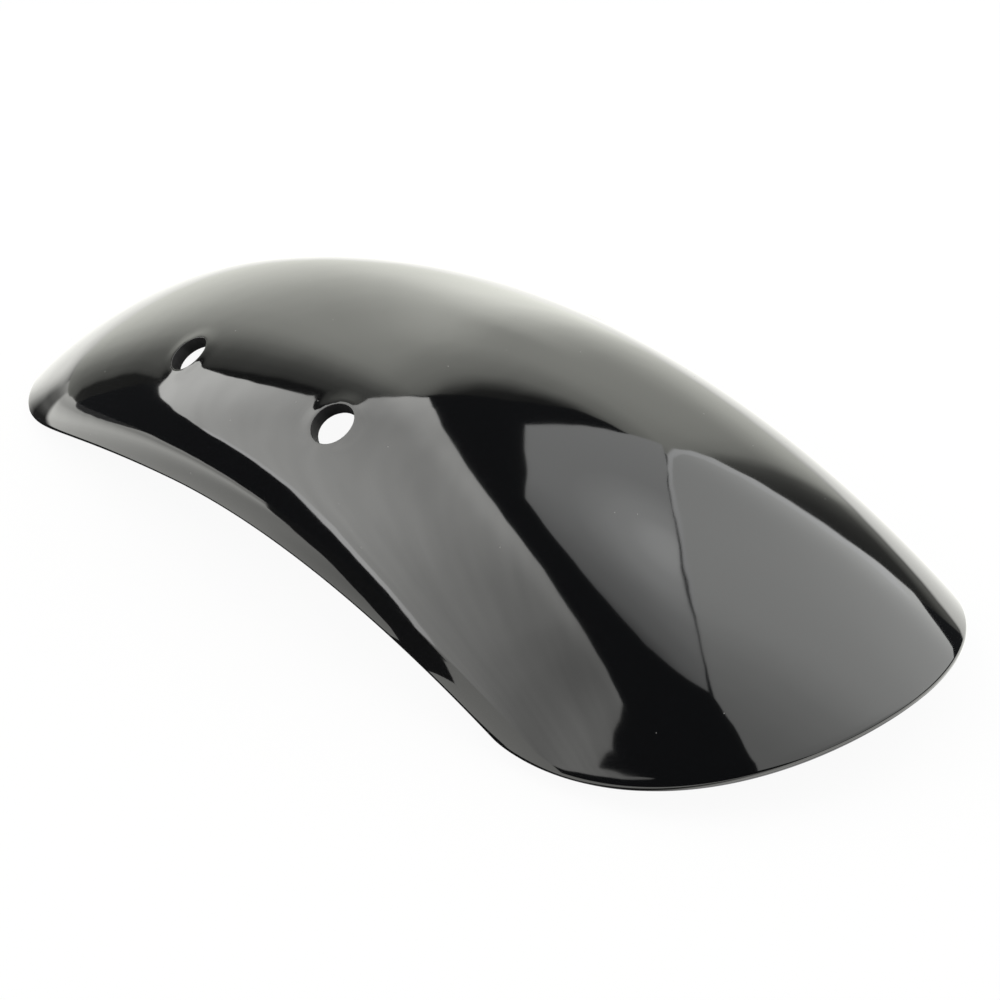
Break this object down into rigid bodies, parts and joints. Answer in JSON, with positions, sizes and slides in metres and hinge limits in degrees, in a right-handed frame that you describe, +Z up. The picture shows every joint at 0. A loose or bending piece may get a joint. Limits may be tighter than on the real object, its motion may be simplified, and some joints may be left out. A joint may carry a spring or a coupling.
{
  "type": "front mudguard",
  "caption": "Crowned front mudguard for a small motorbike: a gloss shell arched along and across the tyre, with bolt holes in both shoulders.",
  "frame": {"origin": "middle of the length and width, on the ground that the shell rests on", "axes": "+X along the length toward the broad rounded nose, +Y across the width, +Z up through the crest"},
  "size_m": [0.2472, 0.1018, 0.0471],
  "materials": {
    "gloss_shell": "deep black gloss, inside and out"
  },
  "bodies": {
    "root": {"front_mudguard": "gloss_shell"}
  },
  "joints": []
}
